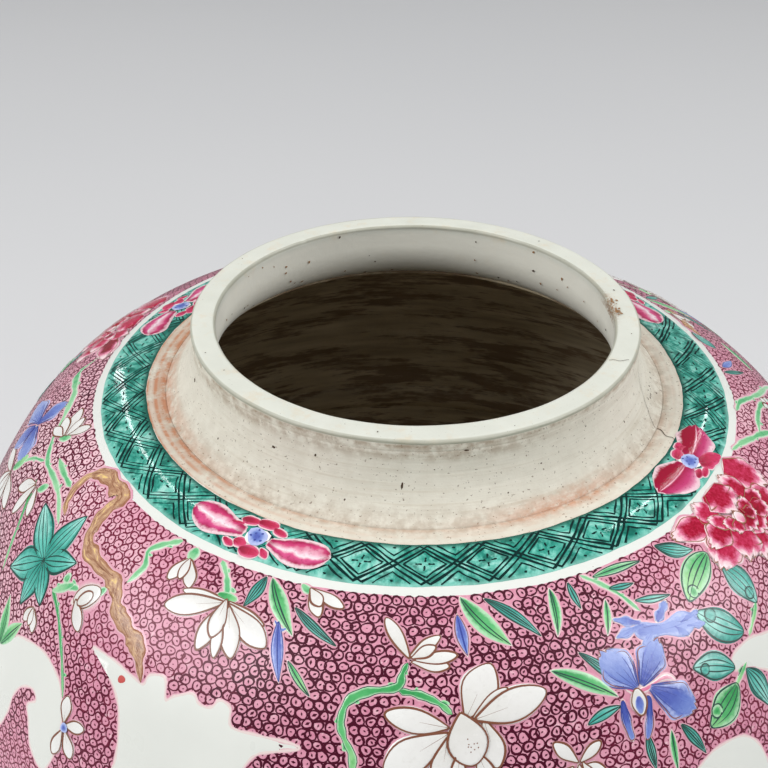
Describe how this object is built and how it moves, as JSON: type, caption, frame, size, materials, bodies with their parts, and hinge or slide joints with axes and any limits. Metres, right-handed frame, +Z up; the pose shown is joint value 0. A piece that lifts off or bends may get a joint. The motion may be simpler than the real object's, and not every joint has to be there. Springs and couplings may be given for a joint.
{
  "type": "ginger jar",
  "caption": "Broad-shouldered porcelain jar with a short open collar, thrown in sections, painted with flowering branches on a ring-diaper ground, no cover.",
  "frame": {"origin": "centre of the foot ring's resting face", "axes": "+Z up the jar's axis of revolution; the camera side of the painting faces -Y"},
  "size_m": [0.3086, 0.3086, 0.384],
  "materials": {
    "painted_glaze": "overglaze enamels on a clear glaze, glossy",
    "white_glaze": "glossy pale glaze",
    "bare_porcelain": "unglazed, fine-grained, matt",
    "collar_porcelain": "unglazed outside with wheel lines, glazed lip",
    "inner_slip": "dull, darkened inside"
  },
  "bodies": {
    "root": {"foot_ring": "bare_porcelain", "base_plate": "white_glaze", "lower_body": "painted_glaze", "waist_seam": "inner_slip", "upper_body": "painted_glaze", "neck_collar": "collar_porcelain"}
  },
  "joints": []
}
